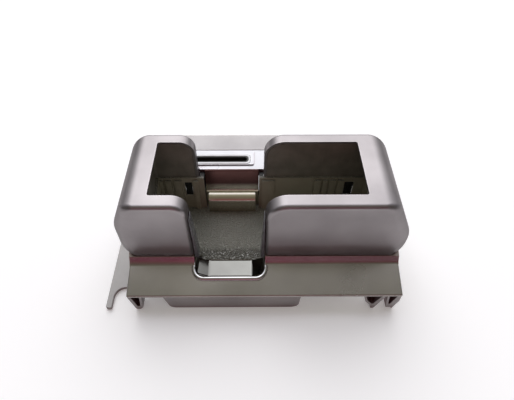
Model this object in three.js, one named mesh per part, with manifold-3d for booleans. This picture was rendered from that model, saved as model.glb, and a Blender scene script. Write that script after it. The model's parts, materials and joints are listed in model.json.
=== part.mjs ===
// Bezel of a cash machine: a two-horned hood around an open banknote pocket, on a sloped fascia plate,
// with a card slot behind it and chromed finger scoops in the channel between the horns.
// Millimetres, +X right, +Y back, +Z up. The origin is under the middle of the pocket, on the resting plane.
import * as THREE from "three";
import { mergeVertices } from "three/addons/utils/BufferGeometryUtils.js";
import Module from "manifold-3d";

const wasm = await Module();
wasm.setup();

// Driving dimensions.
const WALL = 2.5; // thickness of the moulded shells
const GAP = 0.3; // clearance between neighbouring pieces
const POCKET = { left: -100, right: 100, front: -35, back: 35 }; // mouth in the hood's top
const HOOD = { left: -136.6, right: 147.8, front: -50, back: 48.6, top: 127 };
const NOTCH = { left: -64.4, right: 7, leftRadius: 15, rightRadius: 21 }; // hand notch between the horns
const PLATE = { left: -131.5, right: 144.5, front: -83.8, back: 97.9, thickness: 3 };
const TONGUE_PLATE = { left: -111, right: 24, shoulder: 53 }; // the plate's narrower rear part
const PLATE_HEIGHT = 39.5; // top of the plate under the hood's front wall
const PLATE_RISE = 0.29; // rise of the plate per millimetre towards the back
const PLINTH = 5; // height of the step that the hood stands on
const DUCT = { left: -110, right: 120, front: -35, back: 35 }; // opening in the plate under the pocket
const FLOOR = 28; // textured floor of the pocket
const SHELF = 76; // top of the slot console
const SLOT = { left: -69.5, right: -11.5, front: 58.3, back: 64.8 };
const SCOOP = { left: -58.5, right: 1.5, front: 23, back: 47 };
const TRAY_TOP = 24;
const SCREW_RADIUS = 1.6;
const HEAD_RADIUS = 3.4;
const HEAD_HEIGHT = 2.4;

const plateTop = (y) => PLATE_HEIGHT + PLATE_RISE * (y - HOOD.front);
const plateUnder = (y) => plateTop(y) - PLATE.thickness;
const plinthTop = (y) => plateTop(y) + PLINTH;

const FINISHES = {
  silver: { color: 0xb4b4ba, roughness: 0.38, metalness: 0.75 },
  bright: { color: 0xd9dade, roughness: 0.3, metalness: 0.6 },
  chrome: { color: 0xe2e2e0, roughness: 0.05, metalness: 1 },
  dark: { color: 0x3b3a36, roughness: 0.55, metalness: 0 },
  black: { color: 0x101010, roughness: 0.15, metalness: 0 },
  clear: { color: 0xf2f4f4, roughness: 0.2, metalness: 0 },
  steel: { color: 0x9a9a9a, roughness: 0.35, metalness: 1 },
  board: { color: 0x1f5a33, roughness: 0.5, metalness: 0 },
};

const part = new THREE.Group();

// --- solids ---

function solid(geometry) {
  geometry.deleteAttribute("normal");
  geometry.deleteAttribute("uv");
  const merged = mergeVertices(geometry, 1e-4);
  return new wasm.Manifold(
    new wasm.Mesh({
      numProp: 3,
      vertProperties: new Float32Array(merged.attributes.position.array),
      triVerts: new Uint32Array(merged.index.array),
    }),
  );
}

function geometryOf(manifold) {
  const mesh = manifold.getMesh();
  const geometry = new THREE.BufferGeometry();
  geometry.setAttribute("position", new THREE.BufferAttribute(mesh.vertProperties, 3));
  geometry.setIndex(new THREE.BufferAttribute(mesh.triVerts, 1));
  return geometry;
}

function add(name, finish, manifold) {
  const mesh = new THREE.Mesh(geometryOf(manifold), new THREE.MeshStandardMaterial(FINISHES[finish]));
  mesh.name = name;
  part.add(mesh);
}

function box(x0, x1, y0, y1, z0, z1) {
  const geometry = new THREE.BoxGeometry(x1 - x0, y1 - y0, z1 - z0);
  return solid(geometry.translate((x0 + x1) / 2, (y0 + y1) / 2, (z0 + z1) / 2));
}

// A prism along X, Y or Z of a shape drawn in the two other axes, in the order YZ, XZ or XY.
// A bevel rounds the edges of both its ends.
function prism(shape, axis, from, to, curveSegments = 6, bevel = 0) {
  const geometry = new THREE.ExtrudeGeometry(shape, {
    depth: to - from - 2 * bevel,
    curveSegments,
    bevelEnabled: bevel > 0,
    bevelThickness: bevel,
    bevelSize: bevel,
    bevelOffset: -bevel,
    bevelSegments: 3,
  });
  geometry.translate(0, 0, bevel);
  if (axis === "x") {
    geometry.applyMatrix4(new THREE.Matrix4().set(0, 0, 1, from, 1, 0, 0, 0, 0, 1, 0, 0, 0, 0, 0, 1));
  } else if (axis === "y") {
    geometry.rotateX(Math.PI / 2).translate(0, to, 0);
  } else {
    geometry.translate(0, 0, from);
  }
  return solid(geometry);
}

function polygon(points) {
  return new THREE.Shape(points.map(([u, v]) => new THREE.Vector2(u, v)));
}

// A rectangle with its own radius at each corner: low-low, high-low, high-high, low-high.
function roundedRectangle(u0, u1, v0, v1, radii) {
  const [a, b, c, d] = Array.isArray(radii) ? radii : [radii, radii, radii, radii];
  const shape = new THREE.Shape();
  shape.moveTo(u0 + a, v0);
  shape.lineTo(u1 - b, v0);
  if (b) shape.absarc(u1 - b, v0 + b, b, -Math.PI / 2, 0, false);
  shape.lineTo(u1, v1 - c);
  if (c) shape.absarc(u1 - c, v1 - c, c, 0, Math.PI / 2, false);
  shape.lineTo(u0 + d, v1);
  if (d) shape.absarc(u0 + d, v1 - d, d, Math.PI / 2, Math.PI, false);
  if (a) shape.absarc(u0 + a, v0 + a, a, Math.PI, Math.PI * 1.5, false);
  else shape.lineTo(u0, v0);
  return shape;
}

// An upright round post.
function post(x, y, z0, z1, radius, sides = 12) {
  const geometry = new THREE.CylinderGeometry(radius, radius, z1 - z0, sides);
  return solid(geometry.rotateX(Math.PI / 2).translate(x, y, (z0 + z1) / 2));
}

// --- hood ---

const EDGE = 4.5; // radius between the rim and the front and back faces
const LEFT_LEAN = THREE.MathUtils.degToRad(22.6); // lean of the sloped side from upright
const RIGHT_LEAN = THREE.MathUtils.degToRad(23.9);
const LEFT_SHOULDER = { x: -111.1, radius: 18 }; // rounding between the rim and the sloped side
const RIGHT_SHOULDER = { x: 113.6, radius: 20 };
const LEFT_KNEE = { z: 88.5, radius: 30 };
const RIGHT_KNEE = { z: 72.9, radius: 30 };
const CORNER = 11; // radius of the hood's upright corners
const TUCK = { z: 70, depth: 3, left: 4.6, right: 3.6 }; // the front and sides curve in below this height

// The left horn seen from the front; inset gives the inside of its shell.
function leftHornShape(inset) {
  const shape = new THREE.Shape();
  const notchZ = HOOD.top - NOTCH.leftRadius;
  shape.moveTo(NOTCH.left - inset, 0);
  shape.lineTo(NOTCH.left - inset, notchZ);
  shape.absarc(NOTCH.left - NOTCH.leftRadius, notchZ, NOTCH.leftRadius - inset, 0, Math.PI / 2, false);
  const { x: shoulderX, radius: shoulder } = LEFT_SHOULDER;
  shape.absarc(shoulderX, HOOD.top - shoulder, shoulder - inset, Math.PI / 2, Math.PI - LEFT_LEAN, false);
  const kneeX = HOOD.left + LEFT_KNEE.radius;
  shape.absarc(kneeX, LEFT_KNEE.z, LEFT_KNEE.radius - inset, Math.PI - LEFT_LEAN, Math.PI, false);
  const low = plinthTop(HOOD.front);
  shape.lineTo(HOOD.left + inset, TUCK.z);
  shape.quadraticCurveTo(HOOD.left + inset, (TUCK.z + low) / 2, HOOD.left + TUCK.left + inset, low);
  shape.lineTo(HOOD.left + TUCK.left + inset, 0);
  return shape;
}

function rightHornShape(inset) {
  const shape = new THREE.Shape();
  const kneeX = HOOD.right - RIGHT_KNEE.radius;
  const low = plinthTop(HOOD.front);
  shape.moveTo(HOOD.right - TUCK.right - inset, 0);
  shape.lineTo(HOOD.right - TUCK.right - inset, low);
  shape.quadraticCurveTo(HOOD.right - inset, (TUCK.z + low) / 2, HOOD.right - inset, TUCK.z);
  shape.absarc(kneeX, RIGHT_KNEE.z, RIGHT_KNEE.radius - inset, 0, RIGHT_LEAN, false);
  const { x: shoulderX, radius: shoulder } = RIGHT_SHOULDER;
  shape.absarc(shoulderX, HOOD.top - shoulder, shoulder - inset, RIGHT_LEAN, Math.PI / 2, false);
  const notchZ = HOOD.top - NOTCH.rightRadius;
  const notchX = NOTCH.right + NOTCH.rightRadius;
  shape.absarc(notchX, notchZ, NOTCH.rightRadius - inset, Math.PI / 2, Math.PI, false);
  shape.lineTo(NOTCH.right + inset, 0);
  return shape;
}

// The hood seen from the right, down to the sloped top of the plinth.
function hoodSideShape(inset, lower) {
  const front = HOOD.front + inset;
  const back = HOOD.back - inset;
  const tuckedFront = front + TUCK.depth;
  const shape = new THREE.Shape();
  shape.moveTo(back, plinthTop(back) + GAP - lower);
  shape.lineTo(back, HOOD.top);
  shape.lineTo(front, HOOD.top);
  shape.lineTo(front, TUCK.z);
  const foot = plinthTop(tuckedFront) + GAP - lower;
  shape.quadraticCurveTo(front, (TUCK.z + plinthTop(front)) / 2, tuckedFront, foot);
  return shape;
}

const HOOD_BOSSES = {
  left: [[-92, -44, 4], [-126.8, -6, 5], [-90, 42.6, 4]],
  right: [[34, -44, 4], [104, -44, 4], [139, -4, 4.6], [64, 42.6, 4]],
};
const BOSS_HEIGHT = 20;

function hood(side) {
  const hornShape = side === "left" ? leftHornShape : rightHornShape;
  const plan = roundedRectangle(HOOD.left, HOOD.right, HOOD.front, HOOD.back, CORNER);
  const planInside = roundedRectangle(
    HOOD.left + WALL, HOOD.right - WALL, HOOD.front + WALL, HOOD.back - WALL, CORNER - WALL,
  );
  const mouth = roundedRectangle(POCKET.left, POCKET.right, POCKET.front, POCKET.back, 2);
  const outside = prism(hornShape(0), "y", HOOD.front, HOOD.back, 8, EDGE)
    .intersect(prism(hoodSideShape(0, 0), "x", HOOD.left, HOOD.right))
    .intersect(prism(plan, "z", 0, HOOD.top));
  const inside = prism(hornShape(WALL), "y", HOOD.front + WALL, HOOD.back - WALL, 8, EDGE - WALL)
    .intersect(prism(hoodSideShape(WALL, 10), "x", HOOD.left, HOOD.right))
    .intersect(prism(planInside, "z", 0, HOOD.top));
  let shell = outside
    .subtract(inside)
    .subtract(prism(mouth, "z", 0, HOOD.top + 1))
    .subtract(box(DUCT.left, DUCT.right, DUCT.front, DUCT.back, 0, HOOD.top - WALL));
  for (const [x, y, radius] of HOOD_BOSSES[side]) {
    const z0 = plinthTop(y) + 1.5;
    const z1 = z0 + BOSS_HEIGHT;
    if (Math.abs(y) < POCKET.back) {
      const wallX = side === "left" ? HOOD.left + 1 : HOOD.right - 1;
      shell = shell.add(box(Math.min(x, wallX), Math.max(x, wallX), y - 1.2, y + 1.2, z0, z1));
    }
    shell = shell.add(post(x, y, z0, z1, radius)).subtract(post(x, y, z0 - 1, z1 - 4, SCREW_RADIUS + GAP));
  }
  return shell;
}

// --- fascia plate ---

const CUP_OPENING = { left: -65.2, right: 7.6, front: -66.8 };
const CONSOLE = { left: -84, right: 22, front: HOOD.back + GAP, nose: 47.3, back: 77.7, bottom: 66 };
const LEFT_FOOT_FILLET = 2.8; // fillets where the plinth's sloped front meets the plate, beside the notch
const RIGHT_FOOT_FILLET = 1.5;
const PLINTH_FRONT = HOOD.front + 2.6;
const PLINTH_FOOT = HOOD.front - 1.4;
const PLINTH_BACK = HOOD.back - 1;
const TRAY_POSTS = [[-88, -72], [34, -72], [-90.5, 55], [34, 55]];

// Height at which a boss of the plate meets a post of the lower tray.
function trayJoint(y) {
  return plateUnder(y) - 9;
}

function slopedSheet(y0, y1, below, above) {
  return polygon([
    [y0, plateTop(y0) - below],
    [y1, plateTop(y1) - below],
    [y1, plateTop(y1) + above],
    [y0, plateTop(y0) + above],
  ]);
}

// The step under one horn, its sloped front curving into the plate.
function plinthShape(fillet) {
  const shape = new THREE.Shape();
  const foot = PLINTH_FOOT - fillet;
  const curveTop = fillet / PLINTH; // share of the sloped front that the curve takes up
  shape.moveTo(foot, plateTop(foot) - 1);
  shape.lineTo(PLINTH_BACK, plateTop(PLINTH_BACK) - 1);
  shape.lineTo(PLINTH_BACK, plinthTop(PLINTH_BACK));
  shape.lineTo(PLINTH_FRONT, plinthTop(PLINTH_FRONT));
  shape.lineTo(
    THREE.MathUtils.lerp(PLINTH_FOOT, PLINTH_FRONT, curveTop),
    THREE.MathUtils.lerp(plateTop(PLINTH_FOOT), plinthTop(PLINTH_FRONT), curveTop),
  );
  shape.quadraticCurveTo(PLINTH_FOOT, plateTop(PLINTH_FOOT), foot, plateTop(foot));
  return shape;
}

function fasciaPlate() {
  const plinth = prism(plinthShape(LEFT_FOOT_FILLET), "x", HOOD.left, NOTCH.left)
    .add(prism(plinthShape(RIGHT_FOOT_FILLET), "x", NOTCH.right, HOOD.right));
  const cupOpening = roundedRectangle(
    CUP_OPENING.left, CUP_OPENING.right, CUP_OPENING.front, DUCT.front + 1, [10, 10, 0, 0],
  );
  const { left, right, shoulder } = TONGUE_PLATE;
  const outline = polygon([
    [PLATE.left, PLATE.front],
    [PLATE.right, PLATE.front],
    [PLATE.right, HOOD.front],
    [HOOD.right - 2.2, -25],
    [HOOD.right - 0.6, 10],
    [HOOD.right - 0.6, shoulder - CORNER],
    [HOOD.right - CORNER, shoulder],
    [right + 24, shoulder],
    [right + 20, shoulder + 5],
    [right + 20, PLATE.back - 24],
    [right, PLATE.back],
    [left, PLATE.back],
    [left - 2, shoulder + 5],
    [left - 6, shoulder],
    [HOOD.left + CORNER, shoulder],
    [HOOD.left + 0.6, shoulder - CORNER],
    [HOOD.left + 0.6, 10],
    [HOOD.left + 2.6, -25],
    [PLATE.left, HOOD.front],
  ]);
  let plate = prism(slopedSheet(PLATE.front, PLATE.back, PLATE.thickness, 0), "x", HOOD.left, HOOD.right)
    .add(plinth)
    .intersect(prism(outline, "z", 0, HOOD.top))
    .subtract(box(DUCT.left, DUCT.right, DUCT.front, DUCT.back, 0, HOOD.top))
    .subtract(prism(cupOpening, "z", 0, HOOD.top))
    .subtract(box(NOTCH.left, NOTCH.right, DUCT.back - 1, HOOD.back + 1, 0, HOOD.top))
    .subtract(box(CONSOLE.left - GAP, CONSOLE.right + GAP, HOOD.back - 0.5, CONSOLE.back + GAP, 0, HOOD.top));
  for (const [x, y] of [...HOOD_BOSSES.left, ...HOOD_BOSSES.right]) {
    plate = plate.subtract(post(x, y, 0, HOOD.top, SCREW_RADIUS + GAP));
    plate = plate.subtract(post(x, y, 0, headSeat(y), HEAD_RADIUS + 2 * GAP));
  }
  for (const [x, y] of TRAY_POSTS) {
    plate = plate
      .add(post(x, y, trayJoint(y), plateTop(y - 5) - 0.5, 4.6))
      .subtract(post(x, y, 0, plateTop(y) - 2, SCREW_RADIUS + GAP));
  }
  return plate;
}

// Height of the flat seat that a hood screw's head bears on, from below.
function headSeat(y) {
  return plateUnder(y) + 4.2;
}

// --- screws ---

// A pan-head screw pointing up, its head's bearing face at z.
function screw(x, y, z, length) {
  const r = SCREW_RADIUS;
  const profile = [
    [0, -HEAD_HEIGHT + 1],
    [1, -HEAD_HEIGHT + 1],
    [1.4, -HEAD_HEIGHT],
    [HEAD_RADIUS - 1, -HEAD_HEIGHT],
    [HEAD_RADIUS, -HEAD_HEIGHT + 1],
    [HEAD_RADIUS, 0],
    [r, 0],
    [r, length - 2],
    [0, length],
  ].map(([radius, height]) => new THREE.Vector2(radius, height));
  const geometry = new THREE.LatheGeometry(profile, 12);
  return solid(geometry.rotateX(Math.PI / 2).translate(x, y, z));
}

// --- pocket ---

const LINER = 2; // thickness
const POCKET_CORNER = 4;

// One C-shaped wall of the pocket above the plinth.
function pocketLiner(side) {
  const left = side === "left";
  const x0 = left ? DUCT.left - LINER : NOTCH.right + WALL + GAP;
  const x1 = left ? NOTCH.left - WALL - GAP : DUCT.right + LINER;
  const upright = polygon([
    [DUCT.front - LINER, plinthTop(DUCT.front - LINER) + GAP],
    [DUCT.back + LINER, plinthTop(DUCT.back + LINER) + GAP],
    [DUCT.back + LINER, HOOD.top - WALL - GAP],
    [DUCT.front - LINER, HOOD.top - WALL - GAP],
  ]);
  const shape = left ? leftHornShape(WALL + GAP) : rightHornShape(WALL + GAP);
  const clear = roundedRectangle(DUCT.left, DUCT.right, DUCT.front, DUCT.back, POCKET_CORNER);
  return prism(upright, "x", x0, x1)
    .intersect(prism(shape, "y", HOOD.front, HOOD.back))
    .subtract(prism(clear, "z", 0, HOOD.top));
}

const TUB_WALL = 2.2;
const TUB_FLOOR = 2.5;
const TUB_RISE = 8.5; // how far the tub stands above the plinth
const TONGUE = { left: -59.5, right: 4, front: -40 };
const WINDOWS = [
  { name: "sensor_window_left", x0: -80, x1: -72 },
  { name: "sensor_window_right", x0: 96, x1: 106 },
];
const WINDOW_HEIGHT = { low: 50, high: 70.5 };
const RIBS = [
  [-107.4, -103.2],
  [-100.2, -93.8],
  [-90.6, -82.4],
  [-70, -64.6],
  [5, 18.6],
  [62, 69.4],
  [71.4, 76.4],
  [78.4, 85.6],
  [87.6, 94],
];
const RIB_DEPTH = 2.6;

function noteTub() {
  const x0 = DUCT.left + GAP;
  const x1 = DUCT.right - GAP;
  const y0 = DUCT.front + GAP;
  const y1 = DUCT.back - GAP;
  const upright = polygon([
    [y0, FLOOR - TUB_FLOOR],
    [y1, FLOOR - TUB_FLOOR],
    [y1, plinthTop(y1) + TUB_RISE],
    [y0, plinthTop(y0) + TUB_RISE],
  ]);
  const hollow = box(x0 + TUB_WALL, x1 - TUB_WALL, y0 + TUB_WALL, y1 - TUB_WALL, FLOOR, HOOD.top);
  let tub = prism(upright, "x", x0, x1)
    .intersect(prism(roundedRectangle(x0, x1, y0, y1, POCKET_CORNER), "z", 0, HOOD.top))
    .subtract(hollow)
    .subtract(box(NOTCH.left - GAP, NOTCH.right + GAP, y0 - 1, y0 + TUB_WALL, FLOOR, HOOD.top))
    .subtract(box(SCOOP.left - GAP, SCOOP.right + GAP, y1 - TUB_WALL, y1 + 1, FLOOR, HOOD.top))
    .add(box(TONGUE.left, TONGUE.right, TONGUE.front, y0 + 1, FLOOR - TUB_FLOOR, FLOOR));
  for (const [left, right] of RIBS) {
    const front = y1 - TUB_WALL - RIB_DEPTH;
    tub = tub.add(box(left, right, front, y1 - 1, FLOOR - 1, plinthTop(front) + TUB_RISE - 1.5));
  }
  for (const { x0: left, x1: right } of WINDOWS) {
    tub = tub.subtract(box(left, right, y1 - TUB_WALL - 1, y1 + 1, WINDOW_HEIGHT.low, WINDOW_HEIGHT.high));
  }
  return tub;
}

function sensorWindow({ x0, x1 }) {
  const y1 = DUCT.back - GAP;
  const { low, high } = WINDOW_HEIGHT;
  return box(x0 + GAP, x1 - GAP, y1 - TUB_WALL + GAP, y1 - GAP, low + GAP, high - GAP);
}

const CHEEK = { low: 43.6, high: 105, thinTop: 1, thickBottom: 4 };

// A tapered dark trim on a horn's side of the notch, thickest at the bottom.
function notchCheek(side) {
  const sign = side === "left" ? 1 : -1;
  const face = (side === "left" ? NOTCH.left : NOTCH.right) + sign * GAP;
  const shape = polygon([
    [face, CHEEK.low],
    [face + sign * CHEEK.thickBottom, CHEEK.low],
    [face + sign * CHEEK.thinTop, CHEEK.high],
    [face, CHEEK.high],
  ]);
  return prism(shape, "y", HOOD.front + TUCK.depth + 0.2, POCKET.front - 0.5);
}

// --- chromed finger scoops ---

const SCOOP_LIP = { z: 51.5, y: 36, roll: 13, left: -55.5, right: -2 }; // rolled apron below the recess
const RECESS = { front: 37.2, back: 44, bottom: 39, radius: 3.2 }; // thumb recess behind the lip

function rearScoop() {
  const { left, right, front, back } = SCOOP;
  const bottom = FLOOR + GAP;
  const rim = SHELF + 0.8;
  const lip = SCOOP_LIP;
  const { radius } = RECESS;
  const backing = new THREE.Shape();
  backing.moveTo(lip.y, bottom);
  backing.lineTo(back, bottom);
  backing.absarc(back - 1.5, rim - 1.5, 1.5, 0, Math.PI * 0.75, false);
  backing.lineTo(lip.y + 1.5, lip.z);
  backing.lineTo(lip.y, lip.z);
  const apron = new THREE.Shape();
  apron.moveTo(front, bottom);
  apron.lineTo(lip.y + 1, bottom);
  apron.lineTo(lip.y + 1, lip.z);
  apron.absarc(lip.y, lip.z - lip.roll, lip.roll, Math.PI / 2, Math.PI, false);
  const recess = new THREE.Shape();
  recess.moveTo(RECESS.front, rim + 5);
  recess.lineTo(RECESS.front, RECESS.bottom + radius);
  recess.absarc(RECESS.front + radius, RECESS.bottom + radius, radius, Math.PI, Math.PI * 1.5, false);
  recess.absarc(RECESS.back - radius, RECESS.bottom + radius, radius, -Math.PI / 2, 0, false);
  recess.lineTo(RECESS.back, rim + 5);
  const recessFront = polygon([
    [left + 6, RECESS.bottom - 1],
    [right - 4.5, RECESS.bottom - 1],
    [right - 1.4, rim + 5],
    [left + 1.4, rim + 5],
  ]);
  const hollow = box(lip.left + WALL, lip.right - WALL, front + 3.5, 34, bottom - 1, 42);
  return prism(backing, "x", left, right)
    .add(prism(apron, "x", lip.left, lip.right, 8))
    .subtract(prism(recess, "x", left, right).intersect(prism(recessFront, "y", front, back)))
    .subtract(hollow);
}

const FILLER = { bottom: 44, top: CONSOLE.bottom + 6 };

// A dark filler between the rear scoop and a horn.
function scoopFiller(side) {
  const x0 = side === "left" ? NOTCH.left + GAP : SCOOP.right + GAP;
  const x1 = side === "left" ? SCOOP.left - GAP : NOTCH.right - GAP;
  return box(x0, x1, DUCT.back + 0.2, CONSOLE.nose - GAP, FILLER.bottom, FILLER.top);
}

const CUP = { left: -64.9, right: 7.3, front: -66.5, back: TONGUE.front - GAP, floor: 26.8, bottom: 24.4 };

function fingerCup() {
  const { left, right, front, back, floor, bottom } = CUP;
  const rimWidth = 2.2;
  const rimHeight = 1.4;
  const body = prism(roundedRectangle(left, right, front, back, [9.7, 9.7, 0, 0]), "z", bottom, HOOD.top)
    .intersect(prism(slopedSheet(front - 5, back + 5, 60, GAP), "x", left, right));
  const rimBack = PLINTH_FOOT - LEFT_FOOT_FILLET - GAP;
  const rimPlan = roundedRectangle(
    left - rimWidth, right + rimWidth, front - rimWidth, rimBack, [12, 12, 0, 0],
  );
  const rim = prism(rimPlan, "z", 0, HOOD.top)
    .intersect(prism(slopedSheet(front - 5, back, -GAP, rimHeight), "x", left - 5, right + 5));
  const across = roundedRectangle(left + 1.6, right - 1.6, floor, HOOD.top, [8, 8, 0, 0]);
  const along = roundedRectangle(front + 1.6, back + 5, floor, HOOD.top, [7, 0, 0, 0]);
  const plan = roundedRectangle(left + 1.6, right - 1.6, front + 1.6, back + 5, [8.2, 8.2, 0, 0]);
  const hollow = prism(across, "y", front, back + 5)
    .intersect(prism(along, "x", left, right))
    .intersect(prism(plan, "z", 0, HOOD.top));
  return body.add(rim).subtract(hollow);
}

// --- card slot ---

const GUIDE = { left: -73, right: -8, front: 54.3, back: 68.8, bottom: 71.2, top: SHELF + 1.9 };
const FRAME = { left: -78, right: -4, front: 53.2, back: 75.2, height: 1.2 };
// Dark lining of the slot.
const NECK = { left: -70.9, right: -10.1, front: 56.9, back: 66.2, top: SHELF + 1.5 };
const THROAT = { left: -71.5, right: -9.5, front: 56.8, back: 70.4, bottom: 46, top: GUIDE.bottom - GAP };
const HINGE = { y: 67.2, z: 67.4 };

function guideHole(clearance) {
  return prism(
    roundedRectangle(
      GUIDE.left - clearance, GUIDE.right + clearance, GUIDE.front - clearance, GUIDE.back + clearance,
      4 + clearance,
    ),
    "z", 0, HOOD.top,
  );
}

function slotHole() {
  return prism(roundedRectangle(SLOT.left, SLOT.right, SLOT.front, SLOT.back, 3.2), "z", 0, HOOD.top);
}

const CONSOLE_BOSSES = [[-80, 62], [15, 62]];

function slotConsole() {
  const { left, right, front, nose, back, bottom } = CONSOLE;
  const inside = box(left + WALL, right - WALL, front + WALL, back - WALL, bottom - 1, SHELF - WALL);
  let body = prism(roundedRectangle(left, right, front, back, 1), "z", bottom, SHELF)
    .add(box(NOTCH.left + GAP, NOTCH.right - GAP, nose, front + 1, bottom, SHELF))
    .subtract(inside)
    .subtract(guideHole(GAP));
  for (const [x, y] of CONSOLE_BOSSES) {
    body = body
      .add(post(x, y, bottom, SHELF - 1, 3.6))
      .subtract(post(x, y, bottom - 1, SHELF - 3, SCREW_RADIUS + GAP));
  }
  return body;
}

function slotFrame() {
  const { left, right, front, back, height } = FRAME;
  return prism(roundedRectangle(left, right, front, back, 2), "z", SHELF + GAP, SHELF + GAP + height)
    .subtract(guideHole(GAP));
}

function lightGuide() {
  const body = prism(
    roundedRectangle(GUIDE.left, GUIDE.right, GUIDE.front, GUIDE.back, 4),
    "z", GUIDE.bottom, GUIDE.top,
  );
  const { left, right, front, back } = NECK;
  const seat = roundedRectangle(left - GAP, right + GAP, front - GAP, back + GAP, 3.6 + GAP);
  return body.subtract(prism(seat, "z", 0, HOOD.top));
}

function cardThroat() {
  const { left, right, front, back, bottom, top } = THROAT;
  const wall = 1.3;
  const pinHole = new THREE.CylinderGeometry(1.05, 1.05, right - left + 4, 12).rotateZ(Math.PI / 2);
  const neck = roundedRectangle(NECK.left, NECK.right, NECK.front, NECK.back, 3.6);
  return box(left, right, front, back, bottom, top)
    .subtract(box(left + wall, right - wall, front + wall, back - wall, bottom - 1, top - 1))
    .add(prism(neck, "z", top - 1, NECK.top))
    .subtract(slotHole())
    .subtract(solid(pinHole.translate((left + right) / 2, HINGE.y, HINGE.z)));
}

function cardFlap() {
  const left = SLOT.left + 0.8;
  const right = SLOT.right - 0.8;
  const hub = new THREE.CylinderGeometry(1.9, 1.9, right - left, 16).rotateZ(Math.PI / 2);
  const bore = new THREE.CylinderGeometry(1.05, 1.05, right - left + 2, 16).rotateZ(Math.PI / 2);
  const middle = (left + right) / 2;
  return solid(hub.translate(middle, HINGE.y, HINGE.z))
    .add(box(left, right, SLOT.front + 0.4, HINGE.y, HINGE.z + 0.5, HINGE.z + 1.7))
    .subtract(solid(bore.translate(middle, HINGE.y, HINGE.z)));
}

function flapPin() {
  const length = THROAT.right - THROAT.left + 1.6;
  const pin = new THREE.CylinderGeometry(0.75, 0.75, length, 12).rotateZ(Math.PI / 2);
  return solid(pin.translate((THROAT.left + THROAT.right) / 2, HINGE.y, HINGE.z));
}

const BOARD = { left: -76, right: 4, front: 51.6, back: 73, bottom: 66.6, top: 68.2 };
const LED_PLACES = [-62, -48, -34, -20];

function indicatorBoard() {
  const { left, right, front, back, bottom, top } = BOARD;
  const hole = box(
    THROAT.left - 1, THROAT.right + 1, THROAT.front - 1, THROAT.back + 1, bottom - 1, top + 1,
  );
  return box(left, right, front, back, bottom, top).subtract(hole);
}

// --- under the plate ---

const POST_WEB = 3;
const TRAY = { left: -97, right: 43.5, front: -81, back: 63, taper: 5 };

function trayShape(inset, floor) {
  const { left, right, taper } = TRAY;
  const shape = new THREE.Shape();
  shape.moveTo(left + inset, TRAY_TOP + 1);
  shape.lineTo(left + taper - 1 + inset, 7);
  shape.quadraticCurveTo(left + taper + inset, floor, left + taper + 7 + inset, floor);
  shape.lineTo(right - taper - 7 - inset, floor);
  shape.quadraticCurveTo(right - inset - 1.5, floor, right - 1 - inset, 8);
  shape.lineTo(right - inset, TRAY_TOP + 1);
  return shape;
}

function lowerTray() {
  const { left, right, front, back } = TRAY;
  const room = box(left, right, front + WALL, back - WALL, 0, HOOD.top);
  let tray = prism(trayShape(0, 0), "y", front, back)
    .intersect(box(left, right, front, back, 0, TRAY_TOP))
    .subtract(prism(trayShape(WALL, WALL), "y", front, back).intersect(room));
  for (const [x, y] of TRAY_POSTS) {
    const top = trayJoint(y) - GAP;
    tray = tray
      .add(post(x, y, 1, top, 5.6))
      .subtract(post(x, y, -1, top + 1, SCREW_RADIUS + GAP))
      .subtract(post(x, y, -1, top - POST_WEB, HEAD_RADIUS + 2 * GAP));
  }
  return tray;
}

const EAR = { left: -158.8, right: -123, front: -83, back: 60, thickness: 4 };

function mountingEar() {
  const { left, right, front, back, thickness } = EAR;
  const fingerRight = -152.6;
  const hook = { x: -141.6, y: -70, radius: 11 };
  const plan = new THREE.Shape();
  plan.moveTo(left + 3, front);
  plan.lineTo(fingerRight - 2, front);
  plan.quadraticCurveTo(fingerRight, front, fingerRight, front + 2);
  plan.absarc(hook.x, hook.y, hook.radius, Math.PI, Math.PI / 2, true);
  plan.lineTo(right, hook.y + hook.radius);
  plan.lineTo(right, back);
  plan.lineTo(left + 12, back);
  plan.lineTo(left, back - 12);
  plan.lineTo(left, front + 3);
  plan.quadraticCurveTo(left, front, left + 3, front);
  const webFront = hook.y + hook.radius;
  const web = polygon([
    [webFront, 1],
    [back, 1],
    [back, plateUnder(back) - GAP],
    [webFront, plateUnder(webFront) - GAP],
  ]);
  const gusset = polygon([[right - 20, 2], [right - 2, 2], [right - 2, 32]]);
  return prism(plan, "z", 0, thickness, 8)
    .add(prism(web, "x", right - 3, right))
    .add(prism(gusset, "y", -30, -27))
    .add(prism(gusset, "y", 30, 33));
}

// Feet under the flange, seen from the front: channels open to the front, standing on the resting plane.
const FOOT_DEPTH = { front: -82.6, back: -70, web: 3 };
const FEET = {
  left_foot: {
    outline: [
      [-131.5, 40], [-131.5, 24], [-127.5, 1], [-126, 0],
      [-122.5, 0], [-119.4, 4], [-117.6, 22], [-117.6, 40],
    ],
    pocket: [[-128, 40], [-128, 24], [-125, 6], [-122, 6], [-120, 22], [-120, 40]],
  },
  right_hook_inner: {
    outline: [
      [106, 40], [106, 27], [110, 14], [116.5, 6],
      [117.5, 0], [121, 0], [129.6, 27], [129.6, 40],
    ],
    pocket: [[108.5, 40], [108.5, 27], [112, 15.5], [117, 9.5], [119, 9.5], [125.6, 27], [125.6, 40]],
  },
  right_hook_outer: {
    outline: [
      [130.4, 40], [130.4, 24], [133.2, 2], [138.4, 2],
      [139, 0], [140.5, 0], [144.5, 15], [144.5, 40],
    ],
    pocket: [[132.6, 40], [132.6, 24], [134.6, 9], [136.5, 9], [140.2, 24], [140.2, 40]],
  },
};

function foot({ outline, pocket }) {
  const { front, back, web } = FOOT_DEPTH;
  const under = slopedSheet(front, back, 80, -PLATE.thickness - GAP);
  return prism(polygon(outline), "y", front, back)
    .intersect(prism(under, "x", -140, 150))
    .subtract(prism(polygon(pocket), "y", front - 1, back - web));
}

// --- the assembly ---

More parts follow.
